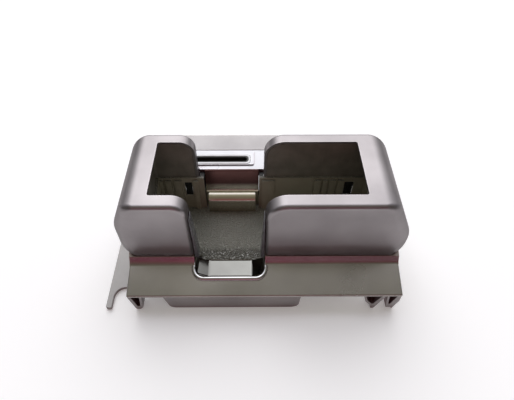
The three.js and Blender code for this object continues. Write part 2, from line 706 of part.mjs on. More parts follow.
add("fascia_plate", "silver", fasciaPlate());
add("hood_left", "silver", hood("left"));
add("hood_right", "silver", hood("right"));
add("pocket_liner_left", "dark", pocketLiner("left"));
add("pocket_liner_right", "dark", pocketLiner("right"));
add("notch_cheek_left", "dark", notchCheek("left"));
add("notch_cheek_right", "dark", notchCheek("right"));
add("note_tub", "dark", noteTub());
for (const window of WINDOWS) add(window.name, "black", sensorWindow(window));
add("rear_finger_scoop", "chrome", rearScoop());
add("scoop_filler_left", "dark", scoopFiller("left"));
add("scoop_filler_right", "dark", scoopFiller("right"));
add("front_finger_cup", "chrome", fingerCup());
add("slot_console", "bright", slotConsole());
add("slot_frame", "bright", slotFrame());
add("slot_light_guide", "clear", lightGuide());
add("card_throat", "dark", cardThroat());
add("card_flap", "dark", cardFlap());
add("flap_pin", "steel", flapPin());
add("indicator_board", "board", indicatorBoard());
LED_PLACES.forEach((x, index) => {
  const y = THROAT.front - 3;
  add(`indicator_led_${index + 1}`, "clear", box(x, x + 3, y - 1.5, y + 1, BOARD.top + GAP, BOARD.top + 2));
});
add("lower_tray", "silver", lowerTray());
add("mounting_ear", "silver", mountingEar());
for (const [name, shape] of Object.entries(FEET)) add(name, "silver", foot(shape));
[...HOOD_BOSSES.left, ...HOOD_BOSSES.right].forEach(([x, y], index) => {
  add(`hood_screw_${index + 1}`, "steel", screw(x, y, headSeat(y) - GAP, 18));
});
TRAY_POSTS.forEach(([x, y], index) => {
  add(`tray_screw_${index + 1}`, "steel", screw(x, y, trayJoint(y) - POST_WEB - 2 * GAP, 9));
});
CONSOLE_BOSSES.forEach(([x, y], index) => {
  add(`console_screw_${index + 1}`, "steel", screw(x, y, CONSOLE.bottom - GAP, 6));
});

export default part;
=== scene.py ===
"""Looks for the cash machine bezel: satin silver hood, sloped plate, chromed scoops and a textured pocket."""

import json
import math

import bmesh
import bpy
from mathutils import Matrix, Vector


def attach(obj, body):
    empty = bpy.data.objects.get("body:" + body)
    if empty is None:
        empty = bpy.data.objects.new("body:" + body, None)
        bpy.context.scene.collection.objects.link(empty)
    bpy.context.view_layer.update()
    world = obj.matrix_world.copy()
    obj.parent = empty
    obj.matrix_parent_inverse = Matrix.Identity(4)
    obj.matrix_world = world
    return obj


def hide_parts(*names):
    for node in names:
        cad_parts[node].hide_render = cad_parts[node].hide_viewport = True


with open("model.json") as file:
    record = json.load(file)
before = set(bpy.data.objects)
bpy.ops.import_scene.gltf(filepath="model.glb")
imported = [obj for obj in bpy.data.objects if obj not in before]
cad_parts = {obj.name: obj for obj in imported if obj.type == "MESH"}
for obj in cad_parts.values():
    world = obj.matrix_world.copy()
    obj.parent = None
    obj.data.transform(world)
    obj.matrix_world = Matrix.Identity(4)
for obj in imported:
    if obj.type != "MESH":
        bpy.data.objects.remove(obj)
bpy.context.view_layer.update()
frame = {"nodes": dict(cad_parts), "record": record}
NODES = frame["nodes"]
MM = 0.001

# The camera, in metres and radians, fitted to the photograph's angle.
CAMERA_PLACE = (-0.00283, -0.28492, 0.41556)
CAMERA_PITCH = math.radians(49.78)
CAMERA_YAW = math.radians(-0.425)
CAMERA_ROLL = math.radians(0.105)
CAMERA_LENS = 29.91

# Dimensions shared with the CAD part, in millimetres.
GAP = 0.3  # clearance between neighbouring pieces
WALL = 2.5  # thickness of the moulded shells
PLATE_HEIGHT, PLATE_RISE = 39.5, 0.29  # the plate's top at the hood's front, and its slope towards the back
PLINTH = 5.0  # height of the step that the hood stands on
HOOD_LEFT, HOOD_RIGHT, HOOD_FRONT, HOOD_BACK, HOOD_TOP = -136.6, 147.8, -50.0, 48.6, 127.0
NOTCH_LEFT, NOTCH_RIGHT = -64.4, 7.0
POCKET_X, POCKET_Y = 100.0, 35.0
DUCT_LEFT, DUCT_RIGHT = -110.0, 120.0
CONSOLE_LEFT, CONSOLE_RIGHT, CONSOLE_BACK = -84.0, 22.0, 77.7
SCREW_HOLE = 1.9
BEYOND = 5.0  # how far a cutter reaches past what it cuts


def plate_top(y):
    """Height of the sloped plate's top."""
    return PLATE_HEIGHT + PLATE_RISE * (y - HOOD_FRONT)


def plinth_top(y):
    """Height of the step under the hood."""
    return plate_top(y) + PLINTH


# --- mesh tools ---

WELD_DISTANCE = 0.00001  # metres
FLAT_ANGLE = math.radians(0.3)  # faces closer than this to one plane become one face


def arc(cx, cy, radius, start, end, step=4.0):
    """Points on an arc, angles in degrees."""
    count = max(2, round(abs(end - start) / step))
    turns = [math.radians(start + (end - start) * i / count) for i in range(count + 1)]
    return [(cx + radius * math.cos(a), cy + radius * math.sin(a)) for a in turns]


def new_object(name, bm):
    """An object from a bmesh in millimetres."""
    bmesh.ops.remove_doubles(bm, verts=bm.verts, dist=0.001)
    bmesh.ops.recalc_face_normals(bm, faces=bm.faces)
    mesh = bpy.data.meshes.new(name)
    bm.to_mesh(mesh)
    bm.free()
    mesh.transform(Matrix.Scale(MM, 4))
    obj = bpy.data.objects.new(name, mesh)
    bpy.context.scene.collection.objects.link(obj)
    return obj


def skin(rings, closed=True):
    """A bmesh of quads between rows of points, capped at both ends."""
    bm = bmesh.new()
    rows = [[bm.verts.new(p) for p in ring] for ring in rings]
    for low, high in zip(rows, rows[1:]):
        for i in range(len(low) if closed else len(low) - 1):
            j = (i + 1) % len(low)
            bm.faces.new((low[i], low[j], high[j], high[i]))
    bm.faces.new(rows[0])
    bm.faces.new(reversed(rows[-1]))
    if not closed:
        bm.faces.new([row[0] for row in rows] + [row[-1] for row in reversed(rows)])
    return bm


def prism(points, axis, low, high):
    """A prism along one axis of a shape drawn in the other two, in their XYZ order."""
    place = {
        "x": lambda u, v, w: (w, u, v),
        "y": lambda u, v, w: (u, w, v),
        "z": lambda u, v, w: (u, v, w),
    }[axis]
    return new_object("prism", skin([[place(u, v, w) for u, v in points] for w in (low, high)]))


def rounded(u0, u1, v0, v1, radius):
    """Outline of a rectangle with round corners."""
    outline = []
    for u, v, start in ((u1, v0, 270), (u1, v1, 0), (u0, v1, 90), (u0, v0, 180)):
        centre_u = u - math.copysign(radius, u - (u0 + u1) / 2)
        centre_v = v - math.copysign(radius, v - (v0 + v1) / 2)
        outline += arc(centre_u, centre_v, radius, start, start + 90, 15)
    return outline


def block(x0, x1, y0, y1, z0, z1):
    """A box between three pairs of planes."""
    return prism([(x0, y0), (x1, y0), (x1, y1), (x0, y1)], "z", z0, z1)


def cylinder(x, y, radius, low, high):
    """An upright cylinder with 24 sides."""
    return prism(arc(x, y, radius, 0, 345, 15), "z", low, high)


def below_plinth():
    """Everything below the plane that the hood stands on."""
    margin = 2 * BEYOND
    y0, y1 = HOOD_FRONT - margin, HOOD_BACK + margin
    outline = [(y0, -margin), (y1, -margin), (y1, plinth_top(y1) + GAP), (y0, plinth_top(y0) + GAP)]
    return prism(outline, "x", HOOD_LEFT - margin, HOOD_RIGHT + margin)


def applied(obj):
    """Bakes the modifiers into the mesh."""
    bpy.context.view_layer.update()
    evaluated = obj.evaluated_get(bpy.context.evaluated_depsgraph_get())
    mesh = bpy.data.meshes.new_from_object(evaluated)
    obj.modifiers.clear()
    obj.data = mesh
    return obj


def combine(obj, other, operation="DIFFERENCE"):
    """Applies a boolean and removes the other object."""
    modifier = obj.modifiers.new("cut", "BOOLEAN")
    modifier.operation = operation
    modifier.solver = "EXACT"
    modifier.object = other
    applied(obj)
    bpy.data.objects.remove(other)
    return obj


def bevelled(obj, width, segments, angle):
    """Adds a bevel on the edges sharper than an angle in degrees."""
    bevel = obj.modifiers.new("round", "BEVEL")
    bevel.width = width * MM
    bevel.segments = segments
    bevel.limit_method = "ANGLE"
    bevel.angle_limit = math.radians(angle)
    return obj


def soften(obj, width, segments=2, angle=35.0):
    """Rounds the sharp edges and shades the rest smoothly."""
    obj.data.shade_smooth()
    weld = obj.modifiers.new("weld", "WELD")
    weld.merge_threshold = WELD_DISTANCE
    flat = obj.modifiers.new("flat", "DECIMATE")
    flat.decimate_type = "DISSOLVE"
    flat.angle_limit = FLAT_ANGLE
    bevelled(obj, width, segments, angle)
    weighted = obj.modifiers.new("normals", "WEIGHTED_NORMAL")
    weighted.mode = "FACE_AREA_WITH_ANGLE"
    weighted.keep_sharp = True


def finish_piece(obj, node, look, width, segments=2, angle=35.0):
    """Puts a detailed piece in the place of its CAD node, with rounded edges."""
    obj.name = f"visual_{node}"
    obj.data.materials.clear()
    obj.data.materials.append(look)
    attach(obj, "bezel")
    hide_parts(node)
    soften(obj, width, segments, angle)


# --- hood ---

# Arcs seen from the front: the notch's as x, z, radius, then the shoulder's and the knee's. The side leans
# between the last two, and tuck is how far it curves in at the foot. Bosses are x, y, radius.
HORNS = {
    "left": {
        "notch": (NOTCH_LEFT, 112.0, 15.0),
        "shoulder": (-111.1, 109.0, 18.0),
        "knee": (-106.6, 88.5, 30.0),
        "lean": 22.6,
        "side": HOOD_LEFT,
        "tuck": 4.6,
        "bosses": [(-92, -44, 4.0), (-126.8, -6, 5.0), (-90, 42.6, 4.0)],
    },
    "right": {
        "notch": (NOTCH_RIGHT, 106.0, 21.0),
        "shoulder": (113.6, 107.0, 20.0),
        "knee": (117.8, 72.9, 30.0),
        "lean": 23.9,
        "side": HOOD_RIGHT,
        "tuck": 3.6,
        "bosses": [(34, -44, 4.0), (104, -44, 4.0), (139, -4, 4.6), (64, 42.6, 4.0)],
    },
}
TUCK_TOP = 70.0  # the front face and the side curve in below this height
TUCK_DEPTH = 4.0
TUCK_HEIGHTS = range(40, 100, 5)  # rows of points that let the walls curve
SIDE_SHARE = 0.4  # points farther than this share of the width from the middle belong to the side
POCKET_ROUND = 2.0  # radius of the mouth's corners
EDGE_FILLET = 4.5  # radius between the rim and the front and back faces
SIDE_FILLET = 11.0  # radius of the upright corners
FILLET_STEPS = 8
HORN_BOTTOM = 10.0  # the horns are drawn down to here, then cut off at the plinth
BOSS_LIFT, BOSS_HEIGHT, BOSS_HOLE = 1.5, 20.0, 16.0
WEB_HALF = 1.2  # half the thickness of the web that ties a boss to the side


def horn_outline(horn):
    """Points seen from the front, each as x, z, inward direction and 0 at the rim to 1 at the side."""
    sign = 1 if horn["side"] > 0 else -1
    notch_x, notch_z, notch_r = horn["notch"]
    points = [(sign * notch_x, HORN_BOTTOM, 1.0, 0.0, 0.0)]

    def add_arc(cx, cz, radius, start, end, share_start, share_end):
        count = max(3, round(abs(end - start) / 4))
        for i in range(count + 1):
            t = i / count
            a = math.radians(start + (end - start) * t)
            share = share_start + (share_end - share_start) * t
            x, z = cx + radius * math.cos(a), cz + radius * math.sin(a)
            points.append((x, z, -math.cos(a), -math.sin(a), share))

    # Drawn as if the side were towards +X, then mirrored for the left horn.
    add_arc(sign * notch_x + notch_r, notch_z, notch_r, 180, 90, 0, 0)
    cx, cz, radius = horn["shoulder"]
    add_arc(sign * cx, cz, radius, 90, horn["lean"], 0, 1)
    cx, cz, radius = horn["knee"]
    add_arc(sign * cx, cz, radius, horn["lean"], 0, 1, 1)
    points.append((sign * horn["side"], HORN_BOTTOM, -1.0, 0.0, 1.0))
    return [(sign * x, z, sign * nx, nz, share) for x, z, nx, nz, share in points]


def horn_shape(horn, inset):
    """The horn as a solid with its front and back edges rounded; inset gives its inside."""
    outline = horn_outline(horn)
    rings = []
    for face_y, inward in ((HOOD_FRONT + inset, 1), (HOOD_BACK - inset, -1)):
        half = []
        for k in range(FILLET_STEPS + 1):
            turn = math.pi / 2 * k / FILLET_STEPS
            ring = []
            for x, z, nx, nz, share in outline:
                radius = EDGE_FILLET + (SIDE_FILLET - EDGE_FILLET) * share - inset
                depth = inset + radius * (1 - math.sin(turn))
                y = face_y + inward * radius * (1 - math.cos(turn))
                ring.append((x + nx * depth, y, z + nz * depth))
            half.append(ring)
        rings += half if inward == 1 else reversed(half)
    bm = skin(rings)
    for height in TUCK_HEIGHTS:
        geometry = bm.verts[:] + bm.edges[:] + bm.faces[:]
        bmesh.ops.bisect_plane(bm, geom=geometry, plane_co=(0, 0, height), plane_no=(0, 0, 1))
    middle = (HOOD_LEFT + HOOD_RIGHT) / 2
    for v in bm.verts:
        drop = max(0.0, TUCK_TOP - v.co.z) / (TUCK_TOP - plinth_top(HOOD_FRONT))
        if v.co.y < 0:
            v.co.y += TUCK_DEPTH * drop**2
        if abs(v.co.x - middle) > (HOOD_RIGHT - HOOD_LEFT) * SIDE_SHARE:
            v.co.x -= math.copysign(horn["tuck"] * drop**2, v.co.x)
    return bm


def make_hood(side):
    """One hollow horn with its screw bosses, open to the pocket and cut to stand on the plinth."""
    horn = HORNS[side]
    hood = new_object(f"visual_hood_{side}", horn_shape(horn, 0.0))
    combine(hood, new_object("inside", horn_shape(horn, WALL)))
    for x, y, radius in horn["bosses"]:
        foot = plinth_top(y) + BOSS_LIFT
        top = foot + BOSS_HEIGHT
        if abs(y) < POCKET_Y:
            wall = horn["side"] - math.copysign(1, horn["side"])
            web = block(min(x, wall), max(x, wall), y - WEB_HALF, y + WEB_HALF, foot, top)
            combine(hood, web, "UNION")
        combine(hood, cylinder(x, y, radius, foot, top), "UNION")
        combine(hood, cylinder(x, y, SCREW_HOLE, foot - 1, foot + BOSS_HOLE))
    mouth = rounded(-POCKET_X, POCKET_X, -POCKET_Y, POCKET_Y, POCKET_ROUND)
    combine(hood, prism(mouth, "z", 0, HOOD_TOP + BEYOND))
    combine(hood, block(DUCT_LEFT, DUCT_RIGHT, -POCKET_Y, POCKET_Y, 0, HOOD_TOP - WALL))
    combine(hood, below_plinth())
    return hood


# --- fascia plate ---

CUP_LEFT, CUP_RIGHT, CUP_FRONT, CUP_BACK, CUP_CORNER = -64.9, 7.3, -66.5, -40.3, 9.7
OPENING_BACK = -34.0  # back of the plate's opening for the cup
PLATE_LEFT, PLATE_RIGHT, PLATE_FRONT, PLATE_BACK, PLATE_THICKNESS = -131.5, 144.5, -83.8, 97.9, 3.0
PLATE_ROUND, PLINTH_ROUND = 1.3, 0.9  # rounding of the edges
PLINTH_FRONT, PLINTH_FOOT, PLINTH_BACK = HOOD_FRONT + 2.6, HOOD_FRONT - 1.4, HOOD_BACK - 1
# Each horn's plinth from left to right, and the fillet in front of it.
HORN_SPANS = [(HOOD_LEFT, NOTCH_LEFT, 2.8), (NOTCH_RIGHT, HOOD_RIGHT, 1.5)]
FOOT_STEPS = 8
TRAY_POSTS = [(-88, -72), (34, -72), (-90.5, 55), (34, 55)]
TONGUE_RIGHT, TONGUE_LEFT, TONGUE_SHOULDER = 24.0, -111.0, 53.0  # the plate's narrower rear part
CORNER = 11.0  # cut off the plate's rear corners
POST_RADIUS, POST_DROP = 4.6, 9.0  # the posts that the tray is screwed to
HEAD_HOLE, HEAD_SEAT = 4.0, 4.2  # radius of a screw head's hole, and its depth from the plate's underside
PLATE_OUTLINE = [
    (PLATE_LEFT, PLATE_FRONT),
    (PLATE_RIGHT, PLATE_FRONT),
    (PLATE_RIGHT, HOOD_FRONT),
    (HOOD_RIGHT - 2.2, -25),
    (HOOD_RIGHT - 0.6, 10),
    (HOOD_RIGHT - 0.6, TONGUE_SHOULDER - CORNER),
    (HOOD_RIGHT - CORNER, TONGUE_SHOULDER),
    (TONGUE_RIGHT + 24, TONGUE_SHOULDER),
    (TONGUE_RIGHT + 20, TONGUE_SHOULDER + 5),
    (TONGUE_RIGHT + 20, PLATE_BACK - 24),
    (TONGUE_RIGHT, PLATE_BACK),
    (TONGUE_LEFT, PLATE_BACK),
    (TONGUE_LEFT - 2, TONGUE_SHOULDER + 5),
    (TONGUE_LEFT - 6, TONGUE_SHOULDER),
    (HOOD_LEFT + CORNER, TONGUE_SHOULDER),
    (HOOD_LEFT + 0.6, TONGUE_SHOULDER - CORNER),
    (HOOD_LEFT + 0.6, 10),
    (HOOD_LEFT + 2.6, -25),
    (PLATE_LEFT, HOOD_FRONT),
]


def sloped_sheet(points, thickness):
    """A sheet under the plate's sloped top, with an outline seen from above."""
    rows = [[(x, y, plate_top(y) - depth) for x, y in points] for depth in (thickness, 0)]
    return new_object("sheet", skin(rows))


def rounded_edges(obj, width):
    """Rounds the sharp edges for good, before the next boolean."""
    return applied(bevelled(obj, width, 3, 40))


def make_plinth(left, right, fillet):
    """The step under one horn, its sloped front curving into the plate."""
    top = Vector((PLINTH_FRONT, plinth_top(PLINTH_FRONT)))
    corner = Vector((PLINTH_FOOT, plate_top(PLINTH_FOOT)))
    foot = PLINTH_FOOT - fillet
    start, end = corner.lerp(top, fillet / PLINTH), Vector((foot, plate_top(foot)))
    side = [(foot, plate_top(foot) - 1), (PLINTH_BACK, plate_top(PLINTH_BACK) - 1)]
    side += [(PLINTH_BACK, plinth_top(PLINTH_BACK)), tuple(top)]
    for k in range(FOOT_STEPS + 1):
        t = k / FOOT_STEPS
        side.append(tuple(start.lerp(corner, t).lerp(corner.lerp(end, t), t)))
    return prism(side, "x", left, right)


def cup_opening():
    """The U-shaped hole in the plate, a gap wider than the cup."""
    left, right, front = CUP_LEFT - GAP, CUP_RIGHT + GAP, CUP_FRONT - GAP
    corner = CUP_CORNER + GAP
    outline = [(left, OPENING_BACK), (left, front + corner)]
    outline += arc(left + corner, front + corner, corner, 180, 270, 6)
    outline += arc(right - corner, front + corner, corner, 270, 360, 6)
    return prism(outline + [(right, OPENING_BACK)], "z", 0, HOOD_TOP)


def make_plate():
    """The sloped plate with its plinths, openings, screw holes and the posts for the tray."""
    plate = rounded_edges(sloped_sheet(PLATE_OUTLINE, PLATE_THICKNESS), PLATE_ROUND)
    for left, right, fillet in HORN_SPANS:
        plan = prism(PLATE_OUTLINE, "z", 0, HOOD_TOP)
        plinth = combine(make_plinth(left, right, fillet), plan, "INTERSECT")
        combine(plate, rounded_edges(plinth, PLINTH_ROUND), "UNION")
    combine(plate, block(DUCT_LEFT, DUCT_RIGHT, -POCKET_Y, POCKET_Y, 0, HOOD_TOP))
    combine(plate, cup_opening())
    combine(plate, block(NOTCH_LEFT, NOTCH_RIGHT, POCKET_Y - 1, HOOD_BACK + 1, 0, HOOD_TOP))
    console = (CONSOLE_LEFT - GAP, CONSOLE_RIGHT + GAP, HOOD_BACK - 0.5, CONSOLE_BACK + GAP)
    combine(plate, block(*console, 0, HOOD_TOP))
    for horn in HORNS.values():
        for x, y, _ in horn["bosses"]:
            combine(plate, cylinder(x, y, SCREW_HOLE, 0, HOOD_TOP))
            combine(plate, cylinder(x, y, HEAD_HOLE, 0, plate_top(y) - PLATE_THICKNESS + HEAD_SEAT))
    for x, y in TRAY_POSTS:
        foot = plate_top(y) - PLATE_THICKNESS - POST_DROP
        # It ends inside the plate, below the lowest place of the slope above it.
        combine(plate, cylinder(x, y, POST_RADIUS, foot, plate_top(y - 5) - 0.5), "UNION")
        combine(plate, cylinder(x, y, SCREW_HOLE, 0, plate_top(y) - 2))
    return plate


# --- chromed scoops ---

CUP_FLOOR, CUP_BOTTOM = 26.8, 24.4
CUP_WALL = 1.8
CUP_SIDE = -46.0  # one more row of points between the rim's end and the cup's back
# The rim's round section, as reach outwards and height above the plate.
CUP_RIM = [(2.1, 0.35), (2.4, 0.8), (2.2, 1.4), (1.5, 1.9), (0.6, 2.1), (-0.4, 1.9), (-1.2, 1.3), (-1.6, 0.4)]
# The dish from its wall to its flat bottom, as reach inwards and height above the bottom.
CUP_DISH = [(0, 7.2), (0.2, 6.3), (0.8, 5.7), (1.8, 5.2), (10.8, 0.9), (11.8, 0.5), (12.9, 0.2), (14.2, 0)]
CUP_FRONT_SHARE = 0.45  # the dish's slope is steeper at the front than at the sides
RIM_END, RIM_STEP = -54.5, 0.4  # the rim stops at the plinth's front, within this step
SMALLEST_CORNER = 1.2


def cup_row(grow, height, floor=None, reach=0.0):
    """One U-shaped row of the cup, grown outwards; it follows the plate's slope, or is level at floor."""
    corner = max(CUP_CORNER + grow - reach, SMALLEST_CORNER)
    left, right = CUP_LEFT - grow + reach, CUP_RIGHT + grow - reach
    front = CUP_FRONT - grow + reach * CUP_FRONT_SHARE
    path = [(left, CUP_BACK), (left, CUP_SIDE), (left, RIM_END + RIM_STEP), (left, RIM_END)]
    path += arc(left + corner, front + corner, corner, 180, 270, 6)
    path += arc(right - corner, front + corner, corner, 270, 360, 6)
    path += [(right, RIM_END), (right, RIM_END + RIM_STEP), (right, CUP_SIDE), (right, CUP_BACK)]
    row = []
    for x, y in path:
        if grow > 0 and y > RIM_END:
            x = min(max(x, CUP_LEFT), CUP_RIGHT)
        top = plate_top(min(y, RIM_END)) + height
        row.append((x, y, top if floor is None else floor))
    return row


def make_cup():
    """Lofted rows, up the outside, over the rim and down into the dish."""
    rows = [cup_row(-2.0, 0, CUP_BOTTOM), cup_row(0, 0, CUP_BOTTOM + 2), cup_row(0, CUP_RIM[0][1])]
    rows += [cup_row(grow, height) for grow, height in CUP_RIM]
    rows.append(cup_row(-CUP_WALL, -2.0))
    rows += [cup_row(-CUP_WALL, 0, CUP_FLOOR + rise, reach) for reach, rise in CUP_DISH]
    return new_object("visual_front_finger_cup", skin(rows, closed=False))


SCOOP_LEFT, SCOOP_RIGHT, SCOOP_FRONT, SCOOP_BACK = -58.5, 1.5, 23.0, 47.0
SCOOP_BOTTOM, SCOOP_RIM = 28.3, 76.8
LIP_Y, LIP_Z, LIP_ROLL, LIP_LEFT, LIP_RIGHT = 36.0, 51.5, 13.0, -55.5, -2.0
LIP_END = 138  # degrees, where the apron's roll turns into its steep foot
RECESS_FRONT, RECESS_BACK, RECESS_BOTTOM, RECESS_ROUND = 37.2, 44.0, 39.0, 3.2
RECESS_SINK, RECESS_LEAN = 2.2, 1.3  # the recess's back wall starts this far in and ends this far out
RIM_ROUND = 1.6
HOLLOW_TOP = 42.0  # the apron is hollow up to here


def make_scoop():
    """An upright backing with a dished thumb recess, above an apron that rolls down to the pocket floor."""
    backing = [(LIP_Y, SCOOP_BOTTOM), (SCOOP_BACK, SCOOP_BOTTOM)]
    backing += arc(SCOOP_BACK - RIM_ROUND, SCOOP_RIM - RIM_ROUND, RIM_ROUND, 0, 150, 12)
    backing += [(LIP_Y + 1.5, LIP_Z), (LIP_Y, LIP_Z)]
    scoop = prism(backing, "x", SCOOP_LEFT, SCOOP_RIGHT)
    apron = [(LIP_Y + 1, SCOOP_BOTTOM), (LIP_Y + 1, LIP_Z)]
    apron += arc(LIP_Y, LIP_Z - LIP_ROLL, LIP_ROLL, 90, LIP_END, 4)
    foot_y, foot_z = apron[-1]
    apron += [(foot_y - 0.9, foot_z - 2), (foot_y - 1.1, SCOOP_BOTTOM)]
    combine(scoop, prism(apron, "x", LIP_LEFT, LIP_RIGHT), "UNION")
    combine(scoop, thumb_recess())
    left, right = LIP_LEFT + WALL, LIP_RIGHT - WALL
    hollow = block(left, right, SCOOP_FRONT + 3.5, LIP_Y - 2, SCOOP_BOTTOM - 1, HOLLOW_TOP)
    return combine(scoop, hollow)


def thumb_recess():
    """What is cut from the scoop's backing; it is wider at the top and its back wall leans back."""
    centre_z, wall_top = RECESS_BOTTOM + RECESS_ROUND, RECESS_BACK + RECESS_LEAN
    side = [(RECESS_FRONT, SCOOP_RIM + BEYOND)]
    side += arc(RECESS_FRONT + RECESS_ROUND, centre_z, RECESS_ROUND, 180, 270, 10)
    side += arc(RECESS_BACK - RECESS_SINK - RECESS_ROUND, centre_z, RECESS_ROUND, 270, 352, 10)
    side += [(wall_top, SCOOP_RIM), (wall_top, SCOOP_RIM + BEYOND)]
    front = [
        (SCOOP_LEFT + 6, RECESS_BOTTOM - 1),
        (SCOOP_RIGHT - 4.5, RECESS_BOTTOM - 1),
        (SCOOP_RIGHT - 1.4, SCOOP_RIM + BEYOND),
        (SCOOP_LEFT + 1.4, SCOOP_RIM + BEYOND),
    ]
    width = prism(front, "y", SCOOP_FRONT, SCOOP_BACK)
    return combine(prism(side, "x", SCOOP_LEFT, SCOOP_RIGHT), width, "INTERSECT")


# --- materials ---

OCCLUSION_SAMPLES = 8


def material(name, colour, roughness, metallic=0.0):
    """A new material, its node tree and its shader."""
    made = bpy.data.materials.new(name)
    made.use_nodes = True
    shader = made.node_tree.nodes["Principled BSDF"]
    shader.inputs["Base Color"].default_value = (*colour, 1)
    shader.inputs["Roughness"].default_value = roughness
    shader.inputs["Metallic"].default_value = metallic
    return made, made.node_tree, shader


def noise(tree, scale, detail=3.0, stretch=(1, 1, 1)):
    """A noise texture in object coordinates; returns its factor output."""
    coordinates = tree.nodes.new("ShaderNodeTexCoord")
    mapping = tree.nodes.new("ShaderNodeMapping")
    mapping.inputs["Scale"].default_value = stretch
    texture = tree.nodes.new("ShaderNodeTexNoise")
    texture.inputs["Scale"].default_value = scale
    texture.inputs["Detail"].default_value = detail
    tree.links.new(coordinates.outputs["Object"], mapping.inputs["Vector"])
    tree.links.new(mapping.outputs["Vector"], texture.inputs["Vector"])
    return texture.outputs["Fac"]


def spread(tree, factor, low, high, from_low=0.3, from_high=0.7):
    """The factor mapped to a range of numbers."""
    node = tree.nodes.new("ShaderNodeMapRange")
    node.inputs["From Min"].default_value = from_low
    node.inputs["From Max"].default_value = from_high
    node.inputs["To Min"].default_value = low
    node.inputs["To Max"].default_value = high
    tree.links.new(factor, node.inputs["Value"])
    return node.outputs["Result"]


def along(tree, axis, start, end, low=0, high=1):
    """Goes from low to high between two places along an axis of the frame, in millimetres."""
    place = tree.nodes.new("ShaderNodeSeparateXYZ")
    tree.links.new(tree.nodes.new("ShaderNodeTexCoord").outputs["Object"], place.inputs["Vector"])
    return spread(tree, place.outputs[axis], low, high, start * MM, end * MM)


def multiply(tree, first, second):
    """The product of two sockets."""
    node = tree.nodes.new("ShaderNodeMath")
    node.operation = "MULTIPLY"
    tree.links.new(first, node.inputs[0])
    tree.links.new(second, node.inputs[1])
    return node.outputs["Value"]


def blend_colours(tree, factor, first, second):
    """A colour between two, each a tuple or a socket."""
    node = tree.nodes.new("ShaderNodeMix")
    node.data_type = "RGBA"
    tree.links.new(factor, node.inputs["Factor"])
    for socket, value in ((node.inputs["A"], first), (node.inputs["B"], second)):
        if isinstance(value, tuple):
            socket.default_value = (*value, 1)
        else:
            tree.links.new(value, socket)
    return node.outputs["Result"]


def crease_shade(tree, unshaded, colour, reach, amount):
    """Painted shade: a colour tinted into the creases by ambient occlusion, as far out as reach in
    millimetres.
    """
    occlusion = tree.nodes.new("ShaderNodeAmbientOcclusion")
    occlusion.samples = OCCLUSION_SAMPLES
    occlusion.inputs["Distance"].default_value = reach * MM
    shade_amount = spread(tree, occlusion.outputs["AO"], amount, 0.0, 0.35, 0.85)
    return blend_colours(tree, shade_amount, unshaded, colour)


def bump(tree, shader, height, strength, distance):
    """Adds a bump, after any bump the shader already has."""
    node = tree.nodes.new("ShaderNodeBump")
    node.inputs["Strength"].default_value = strength
    node.inputs["Distance"].default_value = distance
    tree.links.new(height, node.inputs["Height"])
    if shader.inputs["Normal"].is_linked:
        tree.links.new(shader.inputs["Normal"].links[0].from_socket, node.inputs["Normal"])
    tree.links.new(node.outputs["Normal"], shader.inputs["Normal"])


# Painted shade: a maroon tint in the creases, out to CREASE_WIDTH millimetres from them.
CREASE_SHADE_MAROON, CREASE_WIDTH = (0.15, 0.035, 0.045), 12.0
EDGE_HIGHLIGHT_WIDTH = 1.2  # of the painted highlight strip along a convex edge
EDGE_TINT = (0.45, 0.45, 0.45, 1)  # dims the paint's reflection at grazing angles


def scaled(colour, factor):
    """A colour made darker or lighter."""
    return tuple(min(1.0, c * factor) for c in colour)


def silver_paint(name, colour, roughness, metallic, highlight_gain=1.7):
    """Satin silver paint: metal flake, a faint mottle, handling smudges, a painted highlight along the convex
    edges and painted maroon shade in the creases.
    """
    made, tree, shader = material(name, colour, roughness, metallic)
    darker, lighter = scaled(colour, 0.86), scaled(colour, 1.12)
    mottle = blend_colours(tree, spread(tree, noise(tree, 22), 0, 1), darker, lighter)
    flake = spread(tree, noise(tree, 2600, 1.0), 0.0, 0.2)
    flaked = blend_colours(tree, flake, mottle, scaled(colour, 1.5))
    # Painted highlight: the colour is lightened along convex edges, found by ambient occlusion inside the
    # mesh.
    edge = tree.nodes.new("ShaderNodeAmbientOcclusion")
    edge.inside = True
    edge.samples = OCCLUSION_SAMPLES
    edge.inputs["Distance"].default_value = EDGE_HIGHLIGHT_WIDTH * MM
    edge_highlight_mask = spread(tree, edge.outputs["AO"], 0.7, 0.0, 0.4, 0.95)
    # Painted maroon shade in the creases, with the painted edge highlight over it.
    crease_shaded = crease_shade(tree, flaked, CREASE_SHADE_MAROON, CREASE_WIDTH, 0.75)
    edge_highlighted = blend_colours(tree, edge_highlight_mask, crease_shaded, scaled(colour, highlight_gain))
    tree.links.new(edge_highlighted, shader.inputs["Base Color"])
    shader.inputs["Specular Tint"].default_value = EDGE_TINT
    smudge = noise(tree, 14, 5.0)
    tree.links.new(spread(tree, smudge, roughness - 0.04, roughness + 0.06), shader.inputs["Roughness"])
    bump(tree, shader, noise(tree, 1800, 2.0), 0.06, 0.0001)
    bump(tree, shader, noise(tree, 30, 1.0), 0.04, 0.0004)
    return made


def dark_plastic(name, colour, roughness, grain, grain_scale):
    """Spark-textured dark plastic with a little dust."""
    made, tree, shader = material(name, colour, roughness)
    dusty = tuple(c * 1.8 + 0.01 for c in colour)
    mix = blend_colours(tree, spread(tree, noise(tree, 60, 6.0), 0, 0.6), colour, dusty)
    tree.links.new(mix, shader.inputs["Base Color"])
    handled = spread(tree, noise(tree, 35, 4.0), roughness - 0.08, roughness + 0.1)
    tree.links.new(handled, shader.inputs["Roughness"])
    bump(tree, shader, noise(tree, grain_scale, 3.0), grain, 0.0004)
    return made


# The wall colours are lighter than the floor's: painted light for the light that falls on the walls. The dust
# is a lighter mottle over them.
TUB_WALLS_LIGHTENED, TUB_DUST, TUB_FLOOR = (0.34, 0.32, 0.245), (0.40, 0.38, 0.30), (0.29, 0.29, 0.25)
COARSE_END = (-30, -24)  # the floor's grain gets finer and duller between these two places


